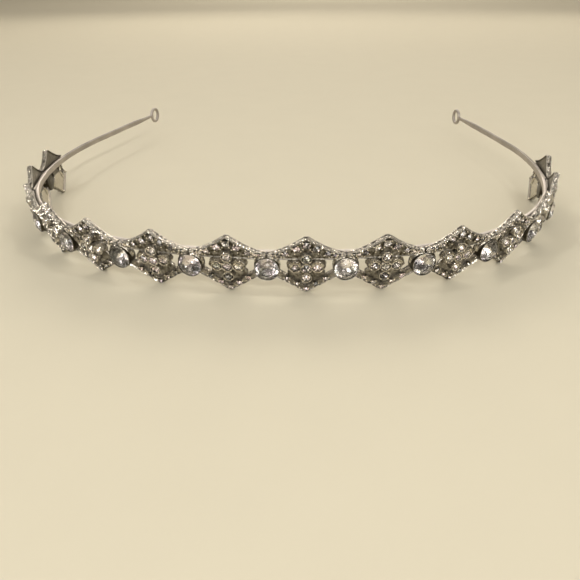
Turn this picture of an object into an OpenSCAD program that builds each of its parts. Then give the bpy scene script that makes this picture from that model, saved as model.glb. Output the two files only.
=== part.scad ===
// Headband tiara, lying as it is put down: a metal band with a row of cast plaques that lean outwards
// soldered on its outside, stones in the plaques and large round stones between them.
// +Z is up, -Y is the front of the head, and the plaques' lowest points stand on Z = 0.

/* [Band] */
// Radius of the flat front stretch of the band
front_radius = 120; // [90:1:160]
// Length of the front stretch, from the middle to one side
front_length = 22.8; // [18:0.1:28]
// Radius of the round stretch at each temple
temple_radius = 54; // [48:1:62]
// Length of the round stretch
temple_length = 60; // [50:1:68]
// Radius of the stretch beside each ear
ear_radius = 90; // [75:1:120]
// Length of the stretch beside each ear
ear_length = 40; // [30:1:48]
// Radius of the nearly straight arm
arm_radius = 600; // [400:10:900]
// Length of the arm, up to its loop
arm_length = 40; // [30:1:50]
// Height of the strip at the front
band_height = 2; // [1.6:0.1:2.6]
// Thickness of the strip at the front
band_thickness = 1; // [0.8:0.05:1.3]
// What each stretch of the strip loses in height against the one before it
height_taper = 0.08; // [0.04:0.01:0.12]
// What it loses in thickness
thickness_taper = 0.04; // [0.02:0.01:0.06]
// Height of the middle of the strip above the plaques' lowest points
band_level = 8; // [7.7:0.1:8.1]
// How far the plaques lean outwards towards their top, in degrees
plaque_lean = 11; // [8:0.5:14]
// How far the cups lean outwards, in degrees
cup_lean = 11; // [8:0.5:13]

/* [End loops] */
// Radius of the hole in each loop
loop_bore = 1.7; // [1.3:0.1:2.2]
// Thickness of the loop's metal
loop_wire = 1; // [0.8:0.05:1.3]

/* [Plaques] */
// Plaques on each side of the middle
plaques_a_side = 7; // [4:1:7]
// Distance from one large stone to the next along the band
pitch = 15; // [14.6:0.1:15.6]
// Height of a plaque from the point of its V to its peak
peak_height = 12.9; // [12.5:0.1:13.4]
// Height of a plaque's top edge where it meets the next one
valley_height = 9.15; // [9.1:0.05:9.35]
// Height of the straight lower edge of the roof
eaves_height = 7.85; // [7.8:0.05:7.9]
// How hollow the shoulders are: 1 is a straight slope
shoulder_curve = 1.55; // [1.3:0.05:1.7]
// Distance of the plaque's face from the band
face = 1.25; // [1.15:0.05:1.3]
// Distance of the roof's raised upper edge from the band
rim_face = 1.4; // [1.35:0.05:1.6]
// Width of the bar that makes the V
chevron_width = 1.4; // [1.4:0.05:1.6]
// Rise of the V for each millimetre sideways
chevron_slope = 0.68; // [0.65:0.01:0.7]

/* [Stones] */
// Height of the large stones and of the flowers above the plaques' lowest points
flower_level = 6.35; // [6.25:0.05:6.45]
// Radius of a large round stone
chaton_radius = 2.1; // [2:0.05:2.15]
// Outer radius of the cup that holds it
cup_radius = 2.35; // [2.3:0.05:2.45]
// Distance from a flower's middle stone to the stones above and below it
petal_step = 2.25; // [2.2:0.05:2.35]
// Distance from the middle stone to the stones beside it
petal_side = 2.1; // [2.05:0.05:2.2]
// Radius of a flower's stones
flower_stone = 0.78; // [0.7:0.02:0.84]
// Outer radius of the seat of a flower's stone
flower_seat = 1.15; // [1.12:0.01:1.2]
// Radius of the stones in the V
chevron_stone = 0.54; // [0.46:0.02:0.56]

/* [Hidden] */
// Stretches of the band from the middle outwards: radius, length, height, thickness
STRETCHES = [
    [front_radius, front_length, band_height, band_thickness],
    [temple_radius, temple_length, band_height - height_taper, band_thickness - thickness_taper],
    [ear_radius, ear_length, band_height - 2 * height_taper, band_thickness - 2 * thickness_taper],
    [arm_radius, arm_length, band_height - 3 * height_taper, band_thickness - 3 * thickness_taper]
];
RADIUS = 0;
LENGTH = 1;
HEIGHT = 2;
THICKNESS = 3;
// Stones on one half of the roof: how far from the middle, height, radius
ROOF_STONES = [[0, 11.15, 0.78], [1.9, 10.3, 0.72], [4, 9.3, 0.58]];
SIDEWAYS = 0;
LEVEL = 1;
STONE = 2;
// Stones on one arm of the V, by their distance from its middle
CHEVRON_STONES = [0, 2.25, 4.6];

half_pitch = pitch / 2;
back = -0.15; // back of the castings, sunk into the strip for the solder
flower_back = -0.05; // back of the flower's round seats
stretch_lap = 0.3; // how far a stretch of the strip runs on inside the seam
tip_flat = 0.25; // half the width of the flat at the V's tip and at the peak
window_flat = 0.65; // half the width of the flat between the arms of the V, which the web covers
chevron_tilt = atan(chevron_slope);
chevron_rise = chevron_width / 2 / cos(chevron_tilt); // from the middle of the V's bar to its edge
chevron_tip = chevron_rise - tip_flat * chevron_slope; // height of the middle of the bar at the V's tip
arc_steps = 5; // flats that make one side of a post
shoulder_steps = 6; // flats that make one shoulder
post_radius = 2.5; // curved side of a casting, round the cup
plaque_end = half_pitch - 0.1;
rim_width = 0.24;
seat_play = 0.08; // room round a stone in its seat
stone_sink = 0.1; // how deep a small stone's widest part lies in its seat
leaf_length = 1.65; // half the length of a side petal
leaf_width = 1.25; // half its width
leaf_rise = 0.35; // how far its middle lies above its stone
leaf_radius = (leaf_length * leaf_length + leaf_width * leaf_width) / (2 * leaf_width);
leaf_at = 2.15; // distance from the flower's middle to a side petal's middle
seat_face = 2; // front of the flower's round seats
leaf_face = 1.8; // front of the side petals
leaf_back = 0.8; // back of the side petals, which are thin plates
web_back = -0.1;
web_face = 0.5; // front of the thin web between the V and the flower
cup_back = -0.85;
cup_face = 1.65;
chaton_girdle = 1.45; // where a large stone is widest
chaton_crown = 0.8;
chaton_pavilion = 1.75;
table_radius = chaton_radius * 0.56;
loop_radius = loop_bore + loop_wire / 2;
loop_half = loop_wire / 2;
loop_chamfer = loop_wire * 0.2;
band_length = front_length + temple_length + ear_length + arm_length;
strip_middle = -band_thickness * 0.45; // middle of the strip's thickness
// Lifts the front edge of the V's tip to the ground
ground_lift = face * sin(plaque_lean) - band_level * (1 - cos(plaque_lean));
chaton_count = 2 * plaques_a_side - 1;
round_steps = 64;

function chaton_name(k) = str("chaton_", k < 10 ? "0" : "", k);

// Point and heading [x, y, degrees] after a length along one arc that starts at p
function along(p, radius, length) =
    let (turned = p[2] + length / radius * 180 / PI)
    [
        p[0] + radius * (sin(turned) - sin(p[2])),
        p[1] - radius * (cos(turned) - cos(p[2])),
        turned
    ];

// Point and heading where stretch i starts
function stretch_start(i) =
    i == 0 ? [0, 0, 0]
    : along(stretch_start(i - 1), STRETCHES[i - 1][RADIUS], STRETCHES[i - 1][LENGTH]);

// Length of the band before stretch i
function length_before(i) = i == 0 ? 0 : length_before(i - 1) + STRETCHES[i - 1][LENGTH];

// The stretch that a length from the middle falls in
function stretch_at(s, i = 0) =
    i == len(STRETCHES) - 1 || s <= length_before(i + 1) ? i : stretch_at(s, i + 1);

// Point and heading on the band, at a length from the middle; negative is the left side
function on_band(s) =
    let (
        i = stretch_at(abs(s)),
        p = along(stretch_start(i), STRETCHES[i][RADIUS], abs(s) - length_before(i))
    )
    s < 0 ? [-p[0], p[1], -p[2]] : p;

// End of the plaque that is centred at s, towards the given side
function plaque_corner(s, side) =
    let (p = on_band(s))
    [p[0] + side * half_pitch * cos(p[2]), p[1] + side * half_pitch * sin(p[2])];

// Middle between the ends of the two plaques that meet at s, with the band's heading there
function between_plaques(s) =
    let (
        a = plaque_corner(s - half_pitch, 1),
        b = plaque_corner(s + half_pitch, -1)
    )
    [(a[0] + b[0]) / 2, (a[1] + b[1]) / 2, on_band(s)[2]];

function plaque_at(n) = sign(n) * (abs(n) - 0.5) * pitch;

function loop_place(side) = on_band(side * (band_length + loop_radius));

// How far forward the middle stone's table and the middle plaques' peaks reach
table_front =
    between_plaques(0)[1]
    + (band_level - flower_level - table_radius) * sin(cup_lean)
    - (chaton_girdle + chaton_crown) * cos(cup_lean);
peak_front =
    on_band(half_pitch)[1]
    - ((peak_height - band_level) * sin(plaque_lean) + rim_face * cos(plaque_lean))
    * cos(on_band(half_pitch)[2])
    - tip_flat * sin(on_band(half_pitch)[2]);
front_end = min(table_front, peak_front);
// Rearmost point: the outside of a loop
rear_end =
    loop_place(1)[1]
    + (loop_radius + loop_half) * sin(loop_place(1)[2])
    - (strip_middle + loop_half - loop_chamfer) * cos(loop_place(1)[2]);

// Top edge of a plaque
function shoulder(u) =
    valley_height
    + (peak_height - valley_height) * pow(max(0, 1 - abs(u) / half_pitch), shoulder_curve);

// Stands what is drawn flat up against the outside of the band: X along it, Y up, Z outwards.
// It leans about the middle of the strip.
module stand_at(p, lean) {
    translate([p[0], p[1], ground_lift])
        rotate([0, 0, p[2]])
            translate([0, band_level * sin(lean), band_level * (1 - cos(lean))])
                rotate([90 + lean, 0, 0])
                    children();
}

// Shifts what is built on the band's curve so that the middle of the whole depth is at Y = 0
module centred() {
    translate([0, -(front_end + rear_end) / 2, 0])
        children();
}

module each_plaque() {
    for (n = [-plaques_a_side : plaques_a_side])
        if (n != 0)
            stand_at(on_band(plaque_at(n)), plaque_lean) {
                $outer = abs(n) == plaques_a_side ? sign(n) : 0;
                children();
            }
}

module each_cup() {
    for (k = [1 : chaton_count])
        stand_at(between_plaques((k - plaques_a_side) * pitch), cup_lean)
            children();
}

// Upright section of the strip in the plane through the axis of an arc of the given radius
module strip_section(radius, height, thickness) {
    translate([radius + strip_middle - thickness / 2, ground_lift + band_level - height / 2])
        square([thickness, height]);
}

// One stretch of the strip, turned round the centre of its arc from the given heading
module strip_arc(p, i, turned) {
    r = STRETCHES[i][RADIUS];
    translate([p[0] - r * sin(p[2]), p[1] + r * cos(p[2]), 0])
        rotate([0, 0, p[2] - 90])
            rotate_extrude(angle = turned, $fn = round_steps * 4)
                strip_section(r, STRETCHES[i][HEIGHT], STRETCHES[i][THICKNESS]);
}

module strip_side() {
    for (i = [1 : len(STRETCHES) - 1]) {
        lap = i == len(STRETCHES) - 1 ? 0 : stretch_lap;
        strip_arc(stretch_start(i), i, (STRETCHES[i][LENGTH] + lap) / STRETCHES[i][RADIUS] * 180 / PI);
    }
}

module band() {
    front_turn = (front_length + stretch_lap) / front_radius * 180 / PI;
    strip_arc(along([0, 0, 0], front_radius, -front_length - stretch_lap), 0, 2 * front_turn);
    strip_side();
    mirror([1, 0, 0])
        strip_side();
}

// Upright ring at the tip of an arm, with chamfered edges and a straight bore
module end_loop() {
    flat = loop_half - loop_chamfer;
    rotate([90, 0, 0])
        rotate_extrude($fn = round_steps)
            translate([loop_radius, strip_middle])
                polygon([
                    [-loop_half, -flat], [-flat, -loop_half], [flat, -loop_half], [loop_half, -flat],
                    [loop_half, flat], [flat, loop_half], [-flat, loop_half], [-loop_half, flat]
                ]);
}

module end_loops() {
    for (side = [-1, 1]) {
        p = loop_place(side);
        translate([p[0], p[1], ground_lift + band_level])
            rotate([0, 0, p[2]])
                end_loop();
    }
}

function shoulder_line(from, to, drop) =
    [
        for (i = [0 : shoulder_steps])
            let (u = from + (to - from) * i / shoulder_steps)
            [u, shoulder(u) - drop]
    ];

// Points of an arc round the middle of the cup on the right, between two angles
function post_arc(from, to) =
    [
        for (i = [0 : arc_steps])
            let (a = from + (to - from) * i / arc_steps)
            [half_pitch + post_radius * cos(a), flower_level + post_radius * sin(a)]
    ];

// Height of the V's lower (side -1) or upper (side 1) edge
function chevron_edge(u, side) = chevron_tip + u * chevron_slope + side * chevron_rise;

// Angle on the post at which that edge meets it
function post_angle(side) =
    chevron_tilt - 90
    - acos((flower_level - chevron_edge(half_pitch, side)) * cos(chevron_tilt) / post_radius);

function with_mirrored(points) =
    concat(points, [for (i = [len(points) - 1 : -1 : 0]) [-points[i][0], points[i][1]]]);

// Right half of a plaque's outline, from the V's tip round the end to the flat little top
RIGHT_OUTLINE = concat(
    [[tip_flat, chevron_edge(tip_flat, -1)]],
    post_arc(post_angle(-1), -acos((plaque_end - half_pitch) / post_radius)),
    shoulder_line(plaque_end, tip_flat, 0)
);

// Right half of the opening between roof, V and post, before the flower is set in it
RIGHT_WINDOW = concat(
    [[window_flat, chevron_edge(window_flat, 1)]],
    post_arc(post_angle(1), -180 - asin((eaves_height - flower_level) / post_radius))
);

// Right half of the face that lies behind the raised upper edge
RIGHT_FACE = concat([[plaque_end + 1, -1]], shoulder_line(plaque_end + 1, tip_flat, rim_width));

// Right half of the web, from inside the V's arms to behind the petals
RIGHT_WEB = [[tip_flat, 1.3], [3.7, 3.8], [3.5, 5], [2.4, 6], [tip_flat, 6]];

// Pointed side petal
module leaf_outline() {
    intersection_for (side = [-1, 1])
        translate([leaf_at, flower_level + leaf_rise + side * (leaf_radius - leaf_width)])
            circle(r = leaf_radius, $fn = round_steps);
}

module flower() {
    translate([0, 0, web_back])
        linear_extrude(web_face - web_back)
            polygon(with_mirrored(RIGHT_WEB));
    difference() {
        union() {
            for (side = [0, 1])
                mirror([side, 0, 0])
                    translate([0, 0, leaf_back])
                        linear_extrude(leaf_face - leaf_back)
                            leaf_outline();
            for (step = [-1, 0, 1])
                translate([0, flower_level + step * petal_step, flower_back])
                    cylinder(r = flower_seat, h = seat_face - flower_back, $fn = round_steps);
        }
        for (p = FLOWER)
            seat(p, flower_stone, p[2]);
    }
}

// Places of a flower's five stones: [sideways, height, front of the seat]
FLOWER = concat(
    [for (step = [-1, 0, 1]) [0, flower_level + step * petal_step, seat_face]],
    [for (side = [-1, 1]) [side * petal_side, flower_level, leaf_face]]
);

// Places of a V's five stones
CHEVRON = [
    for (d = CHEVRON_STONES, side = [-1, 1])
        if (d > 0 || side > 0)
            [side * d * cos(chevron_tilt), chevron_tip + d * sin(chevron_tilt)]
];

// Places and radii of a roof's stones
ROOF = [
    for (s = ROOF_STONES, side = [-1, 1])
        if (s[SIDEWAYS] > 0 || side > 0)
            [side * s[SIDEWAYS], s[LEVEL], s[STONE]]
];

// Eight-sided seat sunk into a face
module seat(p, radius, front) {
    depth = radius * 0.95 + 0.1;
    translate([p[0], p[1], front - depth])
        rotate(22.5)
            cylinder(r = radius + seat_play, h = depth + 1, $fn = 8);
}

// One casting; outer is the side of an end without a cup, or 0 where there are cups on both sides
module plaque(outer) {
    difference() {
        translate([0, 0, back])
            linear_extrude(rim_face - back)
                polygon(with_mirrored(RIGHT_OUTLINE));
        translate([0, 0, face])
            linear_extrude(rim_face)
                polygon(with_mirrored(RIGHT_FACE));
        translate([0, 0, back - 1])
            linear_extrude(rim_face + 2)
                polygon(with_mirrored(RIGHT_WINDOW));
        if (outer != 0)
            translate([outer * half_pitch, flower_level, back - 1])
                cylinder(r = cup_radius, h = rim_face + 2, $fn = round_steps);
        for (p = ROOF)
            seat(p, p[STONE], face);
        for (p = CHEVRON)
            seat(p, chevron_stone, face);
    }
}

module cup() {
    translate([0, flower_level, cup_back])
        cylinder(r = cup_radius, h = cup_face - cup_back, $fn = round_steps);
}

// Hollow of a cup: a straight mouth over a cone that leads to the stone's point
module cup_hollow() {
    mouth = chaton_radius + 0.05;
    ledge = chaton_girdle - 0.35;
    floor_depth = chaton_girdle - chaton_pavilion - 0.3;
    translate([0, flower_level, 0])
        rotate_extrude($fn = round_steps)
            polygon([
                [0, floor_depth], [0.3, floor_depth], [mouth, ledge],
                [mouth, cup_face + 3], [0, cup_face + 3]
            ]);
}

module frame() {
    color("silver")
        centred()
            difference() {
                union() {
                    band();
                    end_loops();
                    each_plaque() {
                        plaque($outer);
                        flower();
                    }
                    each_cup()
                        cup();
                }
                each_cup()
                    cup_hollow();
            }
}

function ring(n, radius, z, turn) =
    [for (i = [0 : n - 1]) let (a = turn + 360 * i / n) [radius * cos(a), radius * sin(a), z]];

// Small stone with an eight-sided table, eight crown facets and eight facets below
module small_stone(radius) {
    table = 0.58 * radius;
    crown = 0.38 * radius;
    point = -0.8 * radius;
    polyhedron(
        points = concat(ring(8, table, crown, 22.5), ring(8, radius, 0, 22.5), [[0, 0, point]]),
        faces = concat(
            [[7, 6, 5, 4, 3, 2, 1, 0]],
            [for (i = [0 : 7]) [i, (i + 1) % 8, 8 + (i + 1) % 8, 8 + i]],
            [for (i = [0 : 7]) [8 + i, 8 + (i + 1) % 8, 16]]
        )
    );
}

// Large round stone: eight-sided table, star and kite facets, a thin girdle and sixteen facets below
module chaton_stone() {
    girdle = 0.12;
    low = 24;
    point = 40;
    polyhedron(
        points = concat(
            ring(8, table_radius, chaton_crown, 0),
            ring(16, chaton_radius, girdle / 2, 0),
            ring(16, chaton_radius, -girdle / 2, 0),
            [[0, 0, -chaton_pavilion]]
        ),
        faces = concat(
            [[7, 6, 5, 4, 3, 2, 1, 0]],
            [for (i = [0 : 7]) [i, (i + 1) % 8, 8 + 2 * i + 1]],
            [for (i = [0 : 7]) [i, 8 + 2 * i + 1, 8 + 2 * i]],
            [for (i = [0 : 7]) [i, 8 + 2 * i, 8 + (2 * i + 15) % 16]],
            [for (i = [0 : 15]) [8 + i, 8 + (i + 1) % 16, low + (i + 1) % 16, low + i]],
            [for (i = [0 : 15]) [low + i, low + (i + 1) % 16, point]]
        )
    );
}

module chaton(k) {
    color("aliceblue")
        centred()
            stand_at(between_plaques((k - plaques_a_side) * pitch), cup_lean)
                translate([0, flower_level, chaton_girdle])
                    chaton_stone();
}

module flower_stones() {
    color("lavenderblush")
        centred()
            each_plaque()
                for (p = FLOWER)
                    translate([p[0], p[1], p[2] - stone_sink])
                        small_stone(flower_stone);
}

module roof_stones() {
    color("whitesmoke")
        centred()
            each_plaque()
                for (p = ROOF)
                    translate([p[0], p[1], face - stone_sink])
                        small_stone(p[STONE]);
}

module chevron_stones() {
    color("ivory")
        centred()
            each_plaque()
                for (p = CHEVRON)
                    translate([p[0], p[1], face - stone_sink])
                        small_stone(chevron_stone);
}

frame();
for (k = [1 : chaton_count])
    chaton(k);
flower_stones();
roof_stones();
chevron_stones();
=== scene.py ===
"""Builds the looks of a stone-set headband tiara round its CAD model.

Sizes in the making functions are millimetres, as a jeweller gives them; meshes are stored in
metres. A plaque is drawn flat first: u runs along the band, w upwards from the tip of its V, and z
outwards from the band. It is then stood up against the band's outside, leaning about the middle of
the strip.
"""

import math

import bpy
import numpy as np
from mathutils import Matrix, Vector
from bpy.props import FloatProperty, FloatVectorProperty, PointerProperty


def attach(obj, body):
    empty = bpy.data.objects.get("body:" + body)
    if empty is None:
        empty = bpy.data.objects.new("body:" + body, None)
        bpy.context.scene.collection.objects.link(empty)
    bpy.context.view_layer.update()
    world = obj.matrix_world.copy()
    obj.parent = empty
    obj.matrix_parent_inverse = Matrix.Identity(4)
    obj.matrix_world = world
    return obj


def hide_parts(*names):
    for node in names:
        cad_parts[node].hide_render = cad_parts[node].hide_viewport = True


bl_info = {
    "name": "Headband tiara",
    "version": (1, 0, 0),
    "blender": (4, 5, 0),
    "location": "3D View > Sidebar > Tiara",
    "description": "Builds the cast metal, cups, grains and stones of a headband tiara",
    "category": "Add Mesh",
}

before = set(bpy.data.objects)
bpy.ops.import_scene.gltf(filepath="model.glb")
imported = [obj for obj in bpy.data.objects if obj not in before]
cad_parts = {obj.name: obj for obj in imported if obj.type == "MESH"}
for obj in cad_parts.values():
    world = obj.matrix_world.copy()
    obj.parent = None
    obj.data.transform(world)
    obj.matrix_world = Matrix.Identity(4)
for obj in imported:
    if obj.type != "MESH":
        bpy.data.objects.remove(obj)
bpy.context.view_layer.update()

MM = 0.001  # metres
PER_METRE = 1000  # millimetres

# Sizes that the CAD model has too, in millimetres and degrees
STRETCHES = ((120.0, 22.8), (54.0, 60.0), (90.0, 40.0), (600.0, 40.0))
BAND_LENGTH = 162.8
SIDE_PLAQUES = 7
PITCH = 15.0
HALF_PITCH = PITCH / 2
BAND_LEVEL = 8.0
STRIP_MIDDLE = -0.45
LEAN = math.radians(11.0)
PEAK_HEIGHT = 12.9
VALLEY_HEIGHT = 9.15
EAVES_HEIGHT = 7.85
SHOULDER_DROP = PEAK_HEIGHT - VALLEY_HEIGHT
SHOULDER_CURVE = 1.55
FACE = 1.25
RIM_FACE = 1.4
BACK = -0.15
SEAT_FACE = 2.0
LEAF_FACE = 1.8
LEAF_BACK = 0.8
WEB_FACE = 0.5
STONE_SINK = 0.1
FLOWER_LEVEL = 6.35
POST_RADIUS = 2.5
CUP_RADIUS = 2.35
CUP_FACE = 1.65
CUP_BACK = -0.85
CHATON_RADIUS = 2.1
CHATON_GIRDLE = 1.45
PETAL_STEP = 2.25
PETAL_SIDE = 2.1
PETAL_STONE = 0.78
FLOWER_SEAT = 1.15
LEAF_AT = 2.15
LEAF_RISE = 0.35
LEAF_WIDTH = 1.25
LEAF_RADIUS = (1.65**2 + LEAF_WIDTH**2) / (2 * LEAF_WIDTH)
CHEVRON_SLOPE = 0.68
CHEVRON_TILT = math.atan(CHEVRON_SLOPE)
CHEVRON_HALF = 0.7
CHEVRON_TIP = CHEVRON_HALF / math.cos(CHEVRON_TILT) - 0.25 * CHEVRON_SLOPE
CHEVRON_STONE = 0.54
LOOP_RADIUS = 2.2
GROUND_LIFT = FACE * math.sin(LEAN) - BAND_LEVEL * (1 - math.cos(LEAN))
MIDDLE_DEPTH = 60.96156
NUMBERS = [n for n in range(-SIDE_PLAQUES, SIDE_PLAQUES + 1) if n]

# Sizes that only this file has: the peaks' blunt knobs, and cups and large stones that are set a
# little wider, lower and more upright than the CAD model's
KNOB_RADIUS = 0.78
KNOB_TOP = PEAK_HEIGHT - 0.26
CUP_WIDER = 1.05
CUP_WALL = 0.19
CUP_LEVEL = FLOWER_LEVEL - 0.42
CUP_TURN = math.radians(8.0)
WIDE_STONE = CHATON_RADIUS + 0.06

# Stones of one plaque: u, w, height of the widest part, radius
FLOWER_STONES = [
    (0.0, FLOWER_LEVEL + k * PETAL_STEP, SEAT_FACE - STONE_SINK, PETAL_STONE) for k in (-1, 0, 1)
] + [(k * PETAL_SIDE, FLOWER_LEVEL, LEAF_FACE - STONE_SINK, PETAL_STONE) for k in (-1, 1)]
ROOF_STONES = [
    (k * u, w, FACE - STONE_SINK, r)
    for u, w, r in ((0.0, 11.15, 0.78), (1.9, 10.3, 0.72), (4.0, 9.3, 0.58))
    for k in ((-1, 1) if u else (1,))
]
CHEVRON_STONES = [
    (k * d * math.cos(CHEVRON_TILT), CHEVRON_TIP + d * math.sin(CHEVRON_TILT), FACE - STONE_SINK,
     CHEVRON_STONE)
    for d in (0.0, 2.25, 4.6)
    for k in ((-1, 1) if d else (1,))
]
# The finest stones, which only this file has
TIP_STONES = [
    (k * u, w, FACE - STONE_SINK, r)
    for u, w, r in ((5.3, 8.95, 0.42), (6.2, 8.95, 0.28))
    for k in (-1, 1)
]
SET_STONES = FLOWER_STONES + ROOF_STONES + CHEVRON_STONES + TIP_STONES
WALL_ROWS = 5


# ---- settings ----


class MetalSettings(bpy.types.PropertyGroup):
    bright: FloatVectorProperty(
        name="Bright metal", description="Colour of the rubbed edges", subtype="COLOR", size=3,
        min=0, max=1, default=(0.76, 0.712, 0.615),
    )
    # The dark colour serves both the real patina in the recesses and painted shade: in the stones'
    # bowls, the cups, the backs, the walls and the strip's upper face.
    dark: FloatVectorProperty(
        name="Patina_Shade", description="Colour of the metal in the recesses", subtype="COLOR", size=3,
        min=0, max=1, default=(0.045, 0.038, 0.024),
    )
    grid_step: FloatProperty(
        name="Grid step", description="Size of the faces that make a plaque", unit="LENGTH",
        default=0.0001, min=0.00008, max=0.0003,
    )
    edge_round: FloatProperty(
        name="Edge rounding", description="Radius of the cast edges", unit="LENGTH",
        default=0.00017, min=0.00005, max=0.0003,
    )
    hollow: FloatProperty(
        name="Hollow back", description="How deep the castings are hollowed behind", unit="LENGTH",
        default=0.00035, min=0.0, max=0.0004,
    )


class StoneSettings(bpy.types.PropertyGroup):
    clear: FloatVectorProperty(
        name="Clear stones", description="Colour of the large round stones", subtype="COLOR",
        size=3, min=0, max=1, default=(0.98, 0.985, 0.99),
    )
    smoky: FloatVectorProperty(
        name="Small stones", description="Colour of the small stones", subtype="COLOR", size=3,
        min=0, max=1, default=(0.98, 0.955, 0.94),
    )
    grain_radius: FloatProperty(
        name="Grain radius", description="Size of the metal grains that hold the stones",
        unit="LENGTH", default=0.00019, min=0.0001, max=0.0003,
    )


class StageSettings(bpy.types.PropertyGroup):
    floor: FloatVectorProperty(
        name="Floor", description="Colour of the floor", subtype="COLOR", size=3,
        min=0, max=1, default=(0.605, 0.563, 0.434),
    )
    lens: FloatProperty(
        name="Lens", description="Focal length on a 36 mm wide sensor, in millimetres",
        unit="CAMERA", default=34.8, min=20, max=90,
    )


# ---- shapes ----


def band_frame(s):
    """Point and heading of the band's curve at the lengths s from its middle: arcs of given radii,
    each tangent to the one before, mirrored for negative lengths."""
    a = np.abs(np.asarray(s, dtype=float))
    x, y, t = np.zeros_like(a), np.zeros_like(a), np.zeros_like(a)
    x0 = y0 = t0 = before = 0.0
    for radius, length in STRETCHES:
        here = a >= before
        turn = t0 + (a - before) / radius
        x = np.where(here, x0 + radius * (np.sin(turn) - np.sin(t0)), x)
        y = np.where(here, y0 - radius * (np.cos(turn) - np.cos(t0)), y)
        t = np.where(here, turn, t)
        end = t0 + length / radius
        x0 = x0 + radius * (math.sin(end) - math.sin(t0))
        y0 = y0 - radius * (math.cos(end) - math.cos(t0))
        t0, before = end, before + length
    side = np.where(np.asarray(s) < 0, -1.0, 1.0)
    return side * x, y, side * t


def between_plaques(s):
    """Middle between the ends of the two flat plaques that meet at the lengths s, and the band's
    heading there."""
    xa, ya, ta = band_frame(s - HALF_PITCH)
    xb, yb, tb = band_frame(s + HALF_PITCH)
    x = (xa + HALF_PITCH * np.cos(ta) + xb - HALF_PITCH * np.cos(tb)) / 2
    y = (ya + HALF_PITCH * np.sin(ta) + yb - HALF_PITCH * np.sin(tb)) / 2
    return x, y, band_frame(s)[2]


def beside_band(place, along, out, up):
    """Points at distances along the heading and outwards from places (x, y, heading) of the band,
    at the height up."""
    x, y, t = place
    return np.stack(np.broadcast_arrays(
        x + along * np.cos(t) + out * np.sin(t),
        y + along * np.sin(t) - out * np.cos(t) - MIDDLE_DEPTH,
        up,
    ), axis=-1)


def stand(flat, place):
    """Stands flat points (u, w, z) up at each place (x, y, heading): turned outwards by the lean
    about the middle of the strip, then round the vertical by the heading. Gives places by points
    by 3."""
    u, w, z = flat[..., 0], flat[..., 1] - BAND_LEVEL, flat[..., 2]
    out = w * math.sin(LEAN) + z * math.cos(LEAN)
    up = GROUND_LIFT + BAND_LEVEL + w * math.cos(LEAN) - z * math.sin(LEAN)
    return beside_band([np.asarray(p)[:, None] for p in place], u, out, up)


def plaque_places(numbers):
    """Places of the plaques' middles: half a pitch from the band's middle, then a pitch apart."""
    n = np.asarray(numbers, dtype=float)
    return band_frame(np.sign(n) * (np.abs(n) - 0.5) * PITCH)


def cup_places():
    """Places of the cups, one between each two plaques."""
    return between_plaques(np.arange(1 - SIDE_PLAQUES, SIDE_PLAQUES) * PITCH)


def grid_faces(rows, columns, wrap_rows=False, wrap_columns=False):
    """Four-sided faces between neighbouring points of a grid of rows by columns."""
    i = np.arange(rows if wrap_rows else rows - 1)[:, None]
    j = np.arange(columns if wrap_columns else columns - 1)[None, :]
    a, b = i * columns + j, i * columns + (j + 1) % columns
    c, d = ((i + 1) % rows) * columns + (j + 1) % columns, ((i + 1) % rows) * columns + j
    return np.stack([a, b, c, d], axis=-1).reshape(-1, 4)


def repeated(points, faces, marks=None):
    """Joins copies of one shape: points is copies by points by 3, and every copy has the same
    faces."""
    copies, count = points.shape[:2]
    shift = (np.arange(copies) * count)[:, None, None]
    faces = [(f[None] + shift).reshape(-1, f.shape[1]) for f in faces]
    marks = {k: np.broadcast_to(v, (copies, count)).ravel() for k, v in (marks or {}).items()}
    return points.reshape(-1, 3), faces, marks


def joined(*shapes):
    """Joins different shapes into one: their points, faces and marks one after another."""
    points, faces, marks, count = [], [], {}, 0
    for p, f, m in shapes:
        points.append(p)
        faces += [g + count for g in f]
        for k in m:
            marks.setdefault(k, []).append(m[k])
        count += len(p)
    return np.concatenate(points), faces, {k: np.concatenate(v) for k, v in marks.items()}


def piece(name, shape, materials, nodes=(), sharp=35.0, backing=None):
    """Makes a mesh object of a shape in millimetres, gives it its materials, and ties it to the
    root body. Edges bent by more than sharp degrees stay sharp. Backing says for each face whether
    it has the second material."""
    points, faces, marks = shape
    mesh = bpy.data.meshes.new(name)
    mesh.from_pydata((points * MM).tolist(), [], [f for g in faces for f in g.tolist()])
    for key, values in marks.items():
        mark = mesh.attributes.new(key, "FLOAT", "POINT")
        mark.data.foreach_set("value", values.astype(np.float32))
    mesh.polygons.foreach_set("use_smooth", np.ones(len(mesh.polygons), dtype=bool))
    mesh.set_sharp_from_angle(angle=math.radians(sharp))
    for material in materials:
        mesh.materials.append(material)
    if backing is not None:
        mesh.polygons.foreach_set("material_index", backing.astype(np.int32))
    mesh.update()
    obj = bpy.data.objects.new(name, mesh)
    bpy.context.scene.collection.objects.link(obj)
    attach(obj, "root")
    if nodes:
        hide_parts(*nodes)


def ramp(x, low, high):
    """Smooth step from 0 below low to 1 above high."""
    t = np.clip((x - low) / (high - low), 0, 1)
    return t * t * (3 - 2 * t)


def soft_min(a, b, k=0.12):
    """The smaller of two values, blended over a width k where they are close."""
    h = np.clip(0.5 + 0.5 * (b - a) / k, 0, 1)
    return b * (1 - h) + a * h - k * h * (1 - h)


def ripple(x, y, size, seed):
    """Smooth unevenness between about -1 and 1: a sum of sine waves whose directions and phases
    come from a fixed seed, with a wavelength of about the given size."""
    waves = 7
    rng = np.random.default_rng(seed)
    angles, phases = rng.uniform(0, 2 * np.pi, waves), rng.uniform(0, 2 * np.pi, waves)
    stretches = rng.uniform(0.6, 1.7, waves)
    total = np.zeros(np.broadcast(x, y).shape)
    for angle, phase, stretch in zip(angles, phases, stretches):
        across = x * np.cos(angle) + y * np.sin(angle)
        total = total + np.sin(across * 2 * np.pi * stretch / size + phase)
    return total / (waves / 2)


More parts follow.
